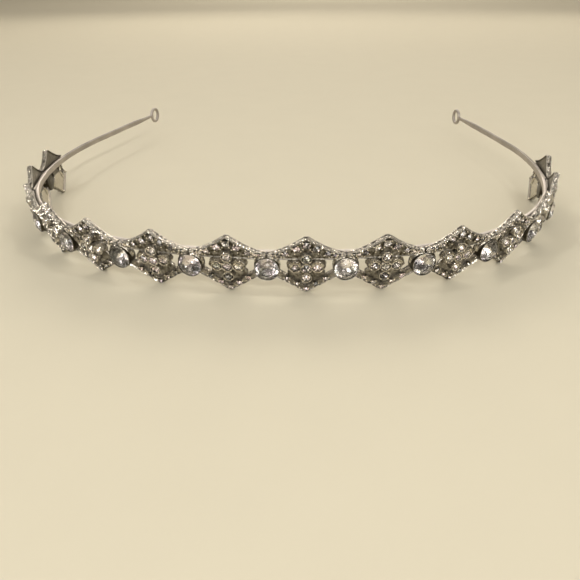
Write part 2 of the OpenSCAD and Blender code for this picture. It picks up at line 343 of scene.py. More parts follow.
def squarish(sides, power):
    """Cosine and sine round a circle, with their sizes raised to a power below 1, which makes the
    circle squarer."""
    angle = np.arange(sides) * 2 * np.pi / sides
    c, s = np.cos(angle), np.sin(angle)
    return np.sign(c) * np.abs(c) ** power, np.sign(s) * np.abs(s) ** power


def shoulder(u):
    """Height of a plaque's hollow top edge: a power of the distance from the plaque's end."""
    a = np.maximum(0, 1 - np.abs(u) / HALF_PITCH)
    return VALLEY_HEIGHT + SHOULDER_DROP * a**SHOULDER_CURVE


def below_shoulder(u, w):
    """Distance below the hollow top edge: the drop to it, divided by the length of its slope."""
    a = np.maximum(0, 1 - np.abs(u) / HALF_PITCH)
    slope = SHOULDER_DROP * SHOULDER_CURVE / HALF_PITCH * a ** (SHOULDER_CURVE - 1)
    return (shoulder(u) - w) / np.sqrt(1 + slope**2)


def leaf_depth(u, w):
    """Depth inside a pointed side petal, the part that two equal circles share."""
    a, off, level = np.abs(u) - LEAF_AT, LEAF_RADIUS - LEAF_WIDTH, FLOWER_LEVEL + LEAF_RISE
    return LEAF_RADIUS - np.maximum(np.hypot(a, w - level - off), np.hypot(a, w - level + off))


def round_seat_distance(u, w):
    """Distance from the nearest of the flower's three round seats' middles."""
    return np.min([np.hypot(u, w - FLOWER_LEVEL - k * PETAL_STEP) for k in (-1, 0, 1)], axis=0)


def along_v(u, w):
    """Distance above the middle line of the V's bar."""
    return (w - CHEVRON_TIP - np.abs(u) * CHEVRON_SLOPE) * math.cos(CHEVRON_TILT)


def post_depth(u, w):
    """Depth inside the nearer round post, whose middle is at the plaque's end."""
    return POST_RADIUS - np.hypot(np.abs(u) - HALF_PITCH, w - FLOWER_LEVEL)


def web_depth(u, w):
    """Depth inside the thin web between the V and the flower: under a line from the arm to the
    petal, and not past the arm."""
    top, start, fall, slant, half = 6.9, 1.3, 0.95, 0.72, 3.62
    a = np.abs(u)
    return np.minimum((top - w - fall * (a - start)) * slant, half - a)


def metal_depth(u, w, outer, petals=True):
    """Depth inside a plaque's metal seen from the front, negative outside: the part below the
    shoulders, above the V's lower edge or inside a post, less the opening, plus the flower and the
    web in it. The side petals can be left out. Both ends are hollowed: to just inside the cup's
    wall, or round a missing cup on the outer side."""
    end_gap, foot, gap_blend = 0.08, 0.01, 0.08
    a = np.abs(u)
    bar, post = along_v(u, w), post_depth(u, w)
    knob = KNOB_RADIUS - np.hypot(u, w - KNOB_TOP + KNOB_RADIUS)
    top = np.minimum(np.maximum(below_shoulder(u, w), knob), KNOB_TOP - w)
    body = soft_min(top, np.maximum(bar + CHEVRON_HALF, post))
    body = soft_min(soft_min(body, HALF_PITCH - end_gap - a), w - foot)
    flower = FLOWER_SEAT - round_seat_distance(u, w)
    if petals:
        flower = np.maximum(flower, leaf_depth(u, w))
    opening = np.min(
        [bar - CHEVRON_HALF, EAVES_HEIGHT - w, -post, -flower, -web_depth(u, w)], axis=0
    )
    depth = soft_min(body, -opening, gap_blend)
    free = u * outer > 0
    level = np.where(free, FLOWER_LEVEL, CUP_LEVEL)
    room = np.where(free, CUP_RADIUS, CUP_RADIUS * CUP_WIDER - CUP_WALL)
    return soft_min(depth, np.hypot(a - HALF_PITCH, w - level) - room)


def ridge(x, middle, half):
    """A rounded ridge: 1 where x is at its middle, falling to 0 on both sides."""
    return np.clip(1 - ((x - middle) / half) ** 2, 0, 1)


def beads_along_rim(u, spacing):
    """Waves of the given spacing measured along the sloping top edge, 1 on a bead and 0 between
    two."""
    steps = np.linspace(0, HALF_PITCH, 400)
    pieces = np.hypot(np.diff(steps), np.diff(shoulder(steps)))
    length = np.concatenate([[0], np.cumsum(pieces)])
    return 0.5 + 0.5 * np.cos(np.interp(np.abs(u), steps, length) * 2 * np.pi / spacing)


def front_height(u, w, depth, shift):
    """Height of a plaque's front over the band, and where a stone's bowl is. Each part of the
    casting has a height, and the highest counts: the web, the sunken roof with its beaded rim and
    thin eaves, the V with an edge on each side, the posts, the pointed petals with their rims and
    the round seats. Each stone has a conical bowl, and all has rounded edges and a little
    unevenness."""
    a = np.abs(u)
    field = FACE - 0.32
    z = np.full(np.broadcast(u, w).shape, WEB_FACE)

    def raised(height, mask):
        return np.maximum(z, WEB_FACE + (height - WEB_FACE) * mask)

    beads = 0.45 + 0.55 * beads_along_rim(u, spacing=0.46)
    rim = (RIM_FACE - field) * ridge(below_shoulder(u, w), middle=0.17, half=0.2) * beads
    eaves = 0.14 * ridge(w, middle=EAVES_HEIGHT + 0.13, half=0.16)
    roof = ramp(w, low=EAVES_HEIGHT - 0.08, high=EAVES_HEIGHT + 0.02)
    z = raised(field + np.maximum(rim, eaves), roof)
    across = np.abs(along_v(u, w))
    v_edges = 0.3 * ridge(across, middle=0.6, half=0.16)
    z = raised(field + v_edges, 1 - ramp(across, low=0.64, high=0.74))
    off_cup = np.hypot(a - HALF_PITCH, w - CUP_LEVEL) - CUP_RADIUS * CUP_WIDER
    post_edge = 0.2 * ridge(off_cup, middle=0.08, half=0.12)
    z = raised(field + 0.12 + post_edge, ramp(post_depth(u, w), low=-0.04, high=0.08))
    leaf = leaf_depth(u, w)
    z = raised(1.28 + 0.5 * ridge(leaf, middle=0.17, half=0.18), ramp(leaf, low=0.0, high=0.09))
    ring = round_seat_distance(u, w)
    z = raised(SEAT_FACE - 0.05, 1 - ramp(ring, low=FLOWER_SEAT - 0.16, high=FLOWER_SEAT))
    highest = np.where(w > 9.9, RIM_FACE, SEAT_FACE)
    z = np.minimum(z + 0.035 * ripple(u + shift, w, size=0.5, seed=3), highest)
    bowl_wider, bowl_floor, bowl_slope = 0.16, 0.12, 0.9
    bowl = np.full_like(z, np.inf)
    for cu, cw, widest, radius in SET_STONES:
        off, wide = np.hypot(u - cu, w - cw), radius + bowl_wider
        cone = widest - bowl_floor - bowl_slope * (wide - off)
        bowl = np.where(off < wide, np.minimum(bowl, cone), bowl)
    seat = bowl < z
    z = np.minimum(z, bowl)
    r = bpy.context.scene.tiara_metal.edge_round * PER_METRE
    d = np.clip(depth, 0, r)
    return z - (r - np.sqrt(r * r - (r - d) ** 2)), seat


def back_height(u, w, depth, outer):
    """Height of a plaque's back: flat along the edges, hollowed where the metal is wide, and high
    behind the side petals, which are thin plates."""
    hollow = bpy.context.scene.tiara_metal.hollow * PER_METRE
    flat = BACK + 0.04 + hollow * ramp(depth, low=0.22, high=0.42)
    plate = LEAF_BACK + 0.02
    return plate + (flat - LEAF_BACK - 0.02) * ramp(
        metal_depth(u, w, outer, petals=False), low=-0.08, high=0.04
    )


def metal_grid(outer):
    """Square grid over a plaque, cut to the shape of its metal: the cells whose middle is in the
    metal are kept, and the points on their border are moved along the depth's gradient until the
    depth is nought. Gives the points, whether each is on the border, the depth and its gradient,
    the cells, and the border's edges."""
    step = bpy.context.scene.tiara_metal.grid_step * PER_METRE
    gu = np.arange(-HALF_PITCH - step, HALF_PITCH + 2 * step, step)
    gw = np.arange(-2 * step, PEAK_HEIGHT + 2 * step, step)
    u, w = np.meshgrid(gu, gw, indexing="ij")
    kept = metal_depth(u[:-1, :-1] + step / 2, w[:-1, :-1] + step / 2, outer) > 0
    padded = np.pad(kept, 1)
    used = padded[1:, 1:] | padded[:-1, 1:] | padded[1:, :-1] | padded[:-1, :-1]
    inner = padded[1:, 1:] & padded[:-1, 1:] & padded[1:, :-1] & padded[:-1, :-1]
    number = np.full(used.shape, -1)
    number[used] = np.arange(used.sum())
    border = (used & ~inner)[used]
    u, w = u[used], w[used]
    tiny, gentlest, rounds = 0.01, 0.2, 4
    for _ in range(rounds):
        d = metal_depth(u, w, outer)
        du = (metal_depth(u + tiny, w, outer) - metal_depth(u - tiny, w, outer)) / (2 * tiny)
        dw = (metal_depth(u, w + tiny, outer) - metal_depth(u, w - tiny, outer)) / (2 * tiny)
        move = np.clip(d, -step, step) / np.maximum(du * du + dw * dw, gentlest)
        move = np.where(border, move, 0)
        u, w = u - move * du, w - move * dw
    depth = np.where(border, 0, np.maximum(metal_depth(u, w, outer), 0))

    i, j = np.nonzero(kept)
    cells = np.stack(
        [number[i, j], number[i + 1, j], number[i + 1, j + 1], number[i, j + 1]], axis=1
    )
    edges = []
    for last, a, b in (
        (kept & ~padded[1:-1, :-2], (0, 0), (1, 0)),
        (kept & ~padded[2:, 1:-1], (1, 0), (1, 1)),
        (kept & ~padded[1:-1, 2:], (1, 1), (0, 1)),
        (kept & ~padded[:-2, 1:-1], (0, 1), (0, 0)),
    ):
        p, q = np.nonzero(last)
        ends = [number[p + a[0], q + a[1]], number[p + b[0], q + b[1]]]
        edges.append(np.stack(ends, axis=1))
    return u, w, border, depth, du, dw, cells, np.concatenate(edges)


def plaque_shape(numbers, outer):
    """Two-sided sheet over the grid of the metal. The front and the back take their heights from
    their formulas, and a wall joins their borders. The wall's rows of points are moved in and out
    by a little unevenness, as the casting was left. The dark mark carries both patina and painted
    shade: it is full in the stones' bowls, as painted shade above each stone, and grows with the
    depth of a place, as patina with painted shade in the recesses; it is high on the upper back
    and on the walls other than the top ones. The grain mark is highest on the wall."""
    u, w, border, depth, du, dw, cells, edges = metal_grid(outer)
    count = len(u)
    n = np.asarray(numbers, dtype=float)[:, None]
    front_shift, wall_shift, most_push, gentlest = 23.0, 17.0, 0.07, 0.3
    front, seat = front_height(u[None], w[None], depth[None], n * front_shift)
    back = np.broadcast_to(back_height(u, w, depth, outer), front.shape)
    grid = np.broadcast_to(np.stack([u, w], axis=-1), front.shape + (2,))

    rim = np.nonzero(border)[0]
    place_in_rim = np.full(count, -1)
    place_in_rim[rim] = np.arange(len(rim))
    slope = np.maximum(np.hypot(du, dw), gentlest)[rim]
    rows = np.arange(1, WALL_ROWS + 1)[:, None] / (WALL_ROWS + 1)
    wall_z = front[:, None, rim] + rows * (back[:, None, rim] - front[:, None, rim])
    along = u[rim] + w[rim] + n[:, :, None] * wall_shift
    push = most_push * ripple(along, wall_z + 0.3 * u[rim], size=0.38, seed=11)
    wall_u = u[rim] - push * du[rim] / slope
    wall_w = np.maximum(w[rim] - push * dw[rim] / slope, 0.0)
    wall = np.stack([wall_u, wall_w, wall_z], axis=-1).reshape(len(n), -1, 3)

    # Front of the dark mark: full in the stones' bowls, painted shade; light on the cast edges,
    # rubbed metal; elsewhere patina and painted shade that grow with the depth below the face.
    sunken = np.clip((1.35 - front) / 0.5, 0, 1)
    face = 0.1 + (0.85 - 0.25 * (w < 5.0)) * sunken
    front_mark = np.where(seat, 1.0, np.where(border, 0.2, face))
    # Back: dark above 5.5 mm with patina and painted shade, lighter below it and along its edges.
    back_mark = np.where(border, 0.3, np.where(w < 5.5, 0.25, 0.8))
    back_mark = np.broadcast_to(back_mark, front.shape)
    # Walls: the top walls are light at the front and darker towards the back; the other walls are
    # dark with patina and painted shade.
    top = below_shoulder(u, w)[rim] < 0.2
    wall_mark = np.where(top, 0.15 + 0.5 * rows, 0.7 + 0 * rows)
    wall_mark = np.broadcast_to(wall_mark, wall_z.shape).reshape(len(n), -1)
    marks = {
        "patina_shade": np.concatenate([front_mark, back_mark, wall_mark], axis=1),
        "grain": np.concatenate([
            np.full(front.shape, 0.5), np.full(back.shape, 0.2), np.full(wall_mark.shape, 1.8)
        ], axis=1),
    }

    flat = np.concatenate([
        np.concatenate([grid, front[..., None]], -1),
        np.concatenate([grid, back[..., None]], -1),
        wall,
    ], axis=1)
    in_rows = [2 * count + k * len(rim) + place_in_rim[edges] for k in range(WALL_ROWS)]
    levels = [edges, *in_rows, edges + count]
    walls = [
        np.concatenate([upper[:, ::-1], lower], axis=1) for upper, lower in zip(levels, levels[1:])
    ]
    points = stand(flat, plaque_places(numbers))
    return repeated(points, [cells, cells[:, ::-1] + count, *walls], marks)


def plaques_shape(numbers):
    """The plaques of the given numbers, with the end ones hollowed on the side that has no cup."""
    shapes = []
    for outer in (-1, 0, 1):
        here = [n for n in numbers if (np.sign(n) if abs(n) == SIDE_PLAQUES else 0) == outer]
        if here:
            shapes.append(plaque_shape(here, outer))
    return joined(*shapes)


def turned_shape(profile, sides):
    """Lathe work: the profile (radius, height) turned round the height axis. Gives points as
    (across, across, height), and faces; the small rings at both ends are closed by a face each."""
    angle = np.arange(sides) * 2 * np.pi / sides
    r, h = profile[:, 0][:, None], profile[:, 1][:, None]
    points = np.stack([r * np.cos(angle), r * np.sin(angle), h + 0 * angle], axis=-1)
    ring = np.arange(sides)[None]
    return points.reshape(-1, 3), [
        grid_faces(len(profile), sides, wrap_columns=True),
        ring[:, ::-1],
        ring + (len(profile) - 1) * sides,
    ]


def settled(flat):
    """Sets points that are centred on a cup's axis at its level: wider, and turned upwards about
    the stone's girdle."""
    u, w, z = flat[..., 0] * CUP_WIDER, flat[..., 1] * CUP_WIDER, flat[..., 2] - CHATON_GIRDLE
    return np.stack([
        u, CUP_LEVEL + w * math.cos(CUP_TURN) + z * math.sin(CUP_TURN),
        CHATON_GIRDLE + z * math.cos(CUP_TURN) - w * math.sin(CUP_TURN),
    ], axis=-1)


def cups_shape():
    """Turned cups: straight outside, rounded lip, and inside a wall that leads to a cone under the
    stone."""
    sides = 56
    outside = [
        (0.02, CUP_BACK + 0.04), (2.0, CUP_BACK + 0.04), (2.22, CUP_BACK + 0.1),
        (2.32, CUP_BACK + 0.28), (CUP_RADIUS, 0.1), (CUP_RADIUS, 1.25), (2.34, 1.45), (2.32, 1.57),
    ]
    lip = [(2.285, CUP_FACE - 0.02), (2.25, CUP_FACE), (2.215, CUP_FACE - 0.02)]
    inside = [
        (2.19, 1.56), (2.17, 1.42), (2.15, 1.12), (1.6, 0.62), (1.0, 0.08), (0.4, -0.46),
        (0.02, -0.5),
    ]
    points, faces = turned_shape(np.array(outside + lip + inside), sides)
    # The outer and inner walls get the full dark mark, patina and painted shade round each large
    # stone; the lip is half dark.
    mark = np.repeat([1.0] * len(outside) + [0.5] * len(lip) + [1.0] * len(inside), sides)
    return repeated(stand(settled(points), cup_places()), faces, {"patina_shade": mark})


def collars_shape():
    """A thin ring round each stone of a flower: a circle carried round a larger circle."""
    around, sides, gap, thick, taller, lift = 18, 6, 0.26, 0.07, 1.3, 0.02
    su, sw, widest, stone_radius = (v[:, None, None] for v in np.array(FLOWER_STONES).T)
    ring = (np.arange(around) * 2 * np.pi / around)[:, None]
    tube = np.arange(sides) * 2 * np.pi / sides
    radius = stone_radius + gap + thick * np.cos(tube)
    height = widest + lift + thick * taller * np.sin(tube) + 0 * ring
    u, w = su + radius * np.cos(ring), sw + radius * np.sin(ring)
    points = np.stack([u, w, height], axis=-1).reshape(len(FLOWER_STONES), -1, 3)
    flat, faces, _ = repeated(points, [grid_faces(around, sides, True, True)[:, ::-1]])
    mark = np.full(len(flat), 0.1)
    return repeated(stand(flat, plaque_places(NUMBERS)), faces, {"patina_shade": mark})


def grain_places():
    """Places of the grains on one plaque: four round each stone, a gap from its edge, on the
    diagonals or turned aside from them on the roof's slopes. Grains that would fall outside the
    metal, on a stone or on another grain are left out."""
    face = FACE - 0.02
    places = []
    for stones, gap, aside, height in (
        (ROOF_STONES + TIP_STONES, 0.17, 25.0, face),
        (CHEVRON_STONES, 0.17, 0.0, face),
        (FLOWER_STONES, 0.14, 0.0, None),
    ):
        for cu, cw, widest, radius in stones:
            for k in range(4):
                angle = math.radians(45.0 - aside * np.sign(cu)) + k * math.pi / 2
                places.append((
                    cu + (radius + gap) * math.cos(angle),
                    cw + (radius + gap) * math.sin(angle),
                    widest if height is None else height,
                ))
    least_depth, least_gap, least_step = 0.1, 0.02, 0.24
    p = np.array(places)
    su, sw, _, radius = np.array(SET_STONES).T
    apart = (np.hypot(p[:, :1] - su, p[:, 1:2] - sw) - radius).min(axis=1)
    p = p[(metal_depth(p[:, 0], p[:, 1], 0) > least_depth) & (apart > least_gap)]
    close = np.hypot(p[:, :1] - p[:, 0], p[:, 1:2] - p[:, 1]) < least_step
    return p[~np.any(np.tril(close, -1), axis=1)]


def grains_shape():
    """Small metal balls: half a circle turned round its ends."""
    r = bpy.context.scene.tiara_stones.grain_radius * PER_METRE
    lat = np.linspace(-0.45, 0.45, 5) * np.pi
    ball, ball_faces = turned_shape(r * np.stack([np.cos(lat), np.sin(lat)], axis=-1), sides=7)
    flat, faces, _ = repeated(grain_places()[:, None, :] + ball[None], ball_faces)
    mark = np.zeros(len(flat))
    return repeated(stand(flat, plaque_places(NUMBERS)), faces, {"patina_shade": mark})


def stone_ring(count, turn, radius, height):
    """Corners of a cut stone that lie on one circle, turned by a share of their spacing."""
    angle = (np.arange(count) + turn) * 2 * np.pi / count
    return np.stack(
        [radius * np.cos(angle), radius * np.sin(angle), np.full(count, height)], axis=-1
    )


def fine_cut():
    """Cut of the large stones, for a radius of 1: an eight-sided table, star, kite and half facets
    down to a thin girdle of sixteen sides, and below it half facets and kites to the point. The
    kites are flat, because the rings where they meet lie on the straight lines between their ends.
    Gives the points, the crown's faces and the faces below the girdle."""
    table, crown, girdle, point, bend, dip = 0.56, 0.37, 0.028, -0.81, 0.8, 0.36
    half_turn = math.cos(math.pi / 8)
    bend_height = crown - (bend * half_turn - table) * (crown - girdle) / (1 - table)
    dip_height = -girdle - (1 - dip * half_turn) * (-girdle - point)
    points = np.concatenate([
        stone_ring(8, 0, table, crown),
        stone_ring(8, 0.5, bend, bend_height),
        stone_ring(16, 0, 1, girdle),
        stone_ring(16, 0, 1, -girdle),
        stone_ring(8, 0.5, dip, dip_height),
        [[0, 0, point]],
    ])
    i, j = np.arange(8), np.arange(16)
    after, before = (i + 1) % 8, (i + 7) % 8
    bends, upper, lower, dips, tip = 8, 16, 32, 48, 56
    crown_faces = [
        i[None],
        np.stack([i, bends + i, after], axis=1),
        np.stack([i, bends + before, upper + 2 * i, bends + i], axis=1),
        np.stack([bends + i, upper + 2 * i, upper + 2 * i + 1], axis=1),
        np.stack([bends + i, upper + 2 * i + 1, upper + (2 * i + 2) % 16], axis=1),
        np.stack([upper + j, lower + j, lower + (j + 1) % 16, upper + (j + 1) % 16], axis=1),
    ]
    back_faces = [
        np.stack([lower + 2 * i, dips + i, lower + 2 * i + 1], axis=1),
        np.stack([lower + 2 * i + 1, dips + i, lower + (2 * i + 2) % 16], axis=1),
        np.stack([lower + 2 * i, dips + before, 0 * i + tip, dips + i], axis=1),
    ]
    return points, crown_faces, back_faces


def plain_cut():
    """Cut of the small stones, for a radius of 1: an eight-sided table, eight crown facets to an
    eight-sided girdle, and eight facets to the point."""
    points = np.concatenate([
        stone_ring(8, 0.5, 0.56, 0.37), stone_ring(8, 0.5, 1, 0), [[0, 0, -0.8]]
    ])
    i = np.arange(8)
    after = (i + 1) % 8
    crown_faces = [i[None], np.stack([i, 8 + i, 8 + after, after], axis=1)]
    return points, crown_faces, [np.stack([8 + i, 0 * i + 16, 8 + after], axis=1)]


def stones_shape(stones, cut, places, seed, settle=None):
    """Copies of a cut stone, each turned a little about its own axis and rocked in its seat by a
    fixed seed. Stones are (u, w, height, radius) on each place, and settle moves the points before
    they are stood up. Gives the shape and its backing faces."""
    most_spin, most_rock = 0.2, 0.045
    unit, crown, below = cut
    stones = np.array(stones)
    copies = len(places[0])
    total = len(stones) * copies
    rng = np.random.default_rng(seed)
    spin = rng.uniform(-most_spin, most_spin, total)[:, None]
    rock_u, rock_w = rng.uniform(-most_rock, most_rock, (2, total, 1))
    x = unit[None, :, 0] * np.cos(spin) - unit[None, :, 1] * np.sin(spin)
    y = unit[None, :, 0] * np.sin(spin) + unit[None, :, 1] * np.cos(spin)
    z = unit[None, :, 2] + x * rock_u + y * rock_w
    cut_points = np.stack([x, y, z], axis=-1).reshape(copies, len(stones), -1, 3)
    flat = cut_points * stones[None, :, None, 3:4] + stones[None, :, None, :3]
    flat = settle(flat) if settle else flat
    points = stand(flat.reshape(copies, -1, 3), places).reshape(total, -1, 3)
    backing = np.repeat([0, 1], [total * sum(map(len, crown)), total * sum(map(len, below))])
    return repeated(points, crown + below), backing


def strip_shape():
    """A rounded oblong section carried along the band's curve; it gets lower and thinner towards
    the loops. Its upper face has painted shade on the arms and is a little lighter near the
    middle."""
    cuts, sides, past_end, slimmer, flatter = 521, 20, 0.2, 0.97, 0.98
    s = np.linspace(-BAND_LENGTH - past_end, BAND_LENGTH + past_end, cuts)
    x, y = squarish(sides, power=0.45)
    a = np.abs(s)
    height = 1.0 - 0.2 * ramp(a, low=22, high=110) - 0.34 * ramp(a, low=150, high=162.5)
    thick = 0.5 - 0.1 * ramp(a, low=22, high=110)
    side_waves = 1 + 0.03 * ripple(s[:, None], y, size=5.0, seed=8)
    top_waves = 0.02 * ripple(s, 0 * s, size=9.0, seed=5)[:, None]
    out = STRIP_MIDDLE + thick[:, None] * x * side_waves * slimmer
    up = GROUND_LIFT + BAND_LEVEL + height[:, None] * y * flatter + top_waves
    points = beside_band([p[:, None] for p in band_frame(s)], 0, out, up).reshape(-1, 3)
    cap = np.arange(sides)[None]
    faces = [
        grid_faces(cuts, sides, wrap_columns=True), cap[:, ::-1], cap + (cuts - 1) * sides
    ]
    # Painted shade on the upper face along the arms; the upper face near the middle is a little
    # lighter.
    darker = (0.5 * ramp(a, low=80, high=110)[:, None] - 0.15) * ramp(y, low=0.8, high=1.0)
    return points, faces, {"patina_shade": (0.2 + darker).ravel()}


def loops_shape():
    """Upright rings at the arms' tips: a rounded square section carried round a circle."""
    around, sides, half_width, half_depth = 56, 14, 0.49, 0.46
    ring = (np.arange(around) * 2 * np.pi / around)[:, None]
    x, y = squarish(sides, power=0.7)
    radius = LOOP_RADIUS + x * half_width
    place = band_frame(np.array([-1.0, 1.0]) * (BAND_LENGTH + LOOP_RADIUS))
    points = beside_band(
        [p[:, None, None] for p in place], radius * np.cos(ring), STRIP_MIDDLE + y * half_depth,
        GROUND_LIFT + BAND_LEVEL + radius * np.sin(ring),
    ).reshape(2, -1, 3)
    faces = [grid_faces(around, sides, True, True)[:, ::-1]]
    return repeated(points, faces, {"patina_shade": np.full(around * sides, 0.2)})


# ---- materials ----


def new_group(name, inputs, outputs):
    """An empty shader node group with its sockets. Inputs are names with their defaults, a number
    or a colour each, and outputs are names with their kinds."""
    group = bpy.data.node_groups.new(name, "ShaderNodeTree")
    for label, default in inputs.items():
        kind = "NodeSocketFloat" if isinstance(default, float) else "NodeSocketColor"
        socket = group.interface.new_socket(name=label, in_out="INPUT", socket_type=kind)
        socket.default_value = default
    for label, kind in outputs.items():
        group.interface.new_socket(name=label, in_out="OUTPUT", socket_type=kind)
    return group, group.nodes.new("NodeGroupInput"), group.nodes.new("NodeGroupOutput")


def feed(tree, node, inputs):
    """Feeds a node's sockets: a number or a colour is set, and another node's output is linked."""
    for key, value in inputs.items():
        if isinstance(value, bpy.types.NodeSocket):
            tree.links.new(value, node.inputs[key])
        else:
            node.inputs[key].default_value = value


def add_node(tree, kind, inputs=None, **settings):
    """A node with its settings and what feeds its sockets."""
    node = tree.nodes.new(kind)
    for key, value in settings.items():
        setattr(node, key, value)
    feed(tree, node, inputs or {})
    return node


def add_math(tree, operation, *inputs, **settings):
    """The output of a node that works out one sum from numbers or other nodes' outputs."""
    node = add_node(
        tree, "ShaderNodeMath", dict(enumerate(inputs)), operation=operation, **settings
    )
    return node.outputs[0]


def object_place(tree):
    """The output that gives a place in the object's own coordinates."""
    return add_node(tree, "ShaderNodeTexCoord").outputs["Object"]


def cast_metal_group():
    """Mottled cast metal: the dark mark, which brings both patina and painted shade, and noise
    choose between bright and dark metal, the dark is rougher, and finer noise gives the unevenness
    of a tumbled casting. Grain strengthens both the patches and the unevenness."""
    group, put_in, put_out = new_group(
        "CastMetal",
        {"Patina_Shade": 0.2, "Bright": (0.8, 0.8, 0.8, 1), "Dark": (0.1, 0.1, 0.1, 1),
         "Grain Scale": 2500.0, "Mottle Scale": 700.0, "Smoothness": 0.25, "Grain": 1.0,
         "Contrast": 1.0, "Relief": 0.3},
        {"Color": "NodeSocketColor", "Roughness": "NodeSocketFloat", "Normal": "NodeSocketVector"},
    )
    given, place = put_in.outputs, object_place(group)
    grain, mottle = (
        add_node(
            group, "ShaderNodeTexNoise",
            {"Vector": place, "Scale": given[scale], "Detail": 2.0, "Roughness": 0.5},
        ).outputs["Fac"]
        for scale in ("Grain Scale", "Mottle Scale")
    )
    spread = add_node(
        group, "ShaderNodeMapRange",
        {"Value": mottle, "From Min": 0.32, "From Max": 0.68, "To Min": -0.35, "To Max": 0.45},
    )
    patches = add_math(group, "MULTIPLY", spread.outputs["Result"], given["Contrast"])
    stronger = add_math(group, "MULTIPLY", patches, given["Grain"])
    share = add_math(group, "ADD", given["Patina_Shade"], stronger, use_clamp=True)
    colour = add_node(
        group, "ShaderNodeMix", {"Factor": share, "A": given["Bright"], "B": given["Dark"]},
        data_type="RGBA",
    )
    rougher = 0.3
    rough = add_math(group, "MULTIPLY_ADD", share, rougher, given["Smoothness"])
    height = add_math(group, "MULTIPLY", grain, given["Grain"])
    bump = add_node(
        group, "ShaderNodeBump",
        {"Distance": 0.0002, "Strength": given["Relief"], "Height": height},
    )
    feed(group, put_out, {
        "Color": colour.outputs["Result"], "Roughness": rough, "Normal": bump.outputs["Normal"]
    })
    return group


def fresh_material(name):
    """A new material with its node tree and its Principled BSDF."""
    material = bpy.data.materials.new(name)
    material.use_nodes = True
    return material, material.node_tree, material.node_tree.nodes["Principled BSDF"]


def metal_material(name, bright, dark, smoothness, relief, grain_scale, mottle_scale, contrast,
                   marks=("Patina_Shade",)):
    """Cast metal over a Principled BSDF, with the share of patina and painted shade from the
    piece's own mark, and that of the fine grain too if the piece has such a mark."""
    material, tree, shader = fresh_material(name)
    group = bpy.data.node_groups.get("CastMetal") or cast_metal_group()
    cast = add_node(tree, "ShaderNodeGroup", {
        "Bright": (*bright, 1), "Dark": (*dark, 1), "Smoothness": smoothness, "Relief": relief,
        "Grain Scale": grain_scale, "Mottle Scale": mottle_scale, "Contrast": contrast,
    }, node_tree=group)
    for key in marks:
        mark = add_node(tree, "ShaderNodeAttribute", attribute_name=key.lower())
        feed(tree, cast, {key: mark.outputs["Fac"]})
    feed(tree, shader, {
        "Base Color": cast.outputs["Color"], "Roughness": cast.outputs["Roughness"],
        "Normal": cast.outputs["Normal"], "Metallic": 0.92,
    })
    return material


def glass_material(name, tint):
    """Cut glass, for a clear crown over a silvered back."""
    material, tree, shader = fresh_material(name)
    feed(tree, shader, {
        "Base Color": (*tint, 1), "Roughness": 0.01, "IOR": 1.6, "Transmission Weight": 1.0
    })
    return material


def foil_with_painted_reflections(name, silver, painted_fire, contrast, scale):
    """Silvered back of a stone, with painted reflections: patches of it take a little of many hues
    and are more or less bright, painted in place of the parts of a room that facets send back."""
    material, tree, shader = fresh_material(name)
    cells = add_node(
        tree, "ShaderNodeTexVoronoi", {"Vector": object_place(tree), "Scale": scale}
    ).outputs["Color"]
    hues = add_node(
        tree, "ShaderNodeMix", {"Factor": painted_fire, "A": (*silver, 1), "B": cells},
        data_type="RGBA", blend_type="SOFT_LIGHT",
    )
    red = add_node(tree, "ShaderNodeSeparateColor", {"Color": cells}).outputs["Red"]
    shade = add_node(
        tree, "ShaderNodeMapRange",
        {"Value": red, "From Min": 0.25, "From Max": 0.5, "To Min": 1 - 0.8 * contrast,
         "To Max": 1.0},
    )
    mix = add_node(
        tree, "ShaderNodeMix",
        {"Factor": 1.0, "A": hues.outputs["Result"], "B": shade.outputs["Result"]},
        data_type="RGBA", blend_type="MULTIPLY",
    )
    feed(tree, shader, {"Base Color": mix.outputs["Result"], "Roughness": 0.16, "Metallic": 1.0})
    return material


def studio_world():
    """A room that is light behind the tiara and dim on the camera's side: the brightness goes with
    the direction's share towards the back."""
    world = bpy.data.worlds.new("Studio")
    world.use_nodes = True
    tree = world.node_tree
    direction = add_node(tree, "ShaderNodeTexCoord").outputs["Generated"]
    parts = add_node(tree, "ShaderNodeSeparateXYZ", {"Vector": direction})
    share = add_node(
        tree, "ShaderNodeMapRange",
        {"Value": parts.outputs["Y"], "From Min": -0.4, "From Max": 0.9, "To Min": 0.13,
         "To Max": 0.32},
        interpolation_type="SMOOTHSTEP",
    )
    feed(tree, tree.nodes["Background"], {
        "Color": (1.0, 0.9, 0.77, 1), "Strength": share.outputs["Result"]
    })
    return world


def floor_material(colour):
    """Matt floor of one colour, clouded by a slightly darker shade of it."""
    material, tree, shader = fresh_material("Floor")
    noise = add_node(
        tree, "ShaderNodeTexNoise", {"Vector": object_place(tree), "Scale": 60.0, "Detail": 4.0}
    )
    darker = [c * 0.96 for c in colour]
    mix = add_node(
        tree, "ShaderNodeMix",
        {"Factor": noise.outputs["Fac"], "A": (*colour, 1), "B": (*darker, 1)},
        data_type="RGBA",
    )
    feed(tree, shader, {
        "Base Color": mix.outputs["Result"], "Roughness": 0.85, "Specular IOR Level": 0.2
    })
    return material


# ---- operators ----


class TIARA_OT_band(bpy.types.Operator):
    """Make the strip and its end loops"""

    bl_idname = "tiara.band"
    bl_label = "Band and loops"

    def execute(self, context):
        m = context.scene.tiara_metal
        metal = metal_material(
            "Satin strip", (0.6, 0.55, 0.5), m.dark, smoothness=0.5, relief=0.1,
            grain_scale=1400.0, mottle_scale=160.0, contrast=0.25,
        )
        for name, shape in (("band_strip", strip_shape()), ("end_loops", loops_shape())):
            piece(name, shape, [metal], ["frame"])
        return {"FINISHED"}


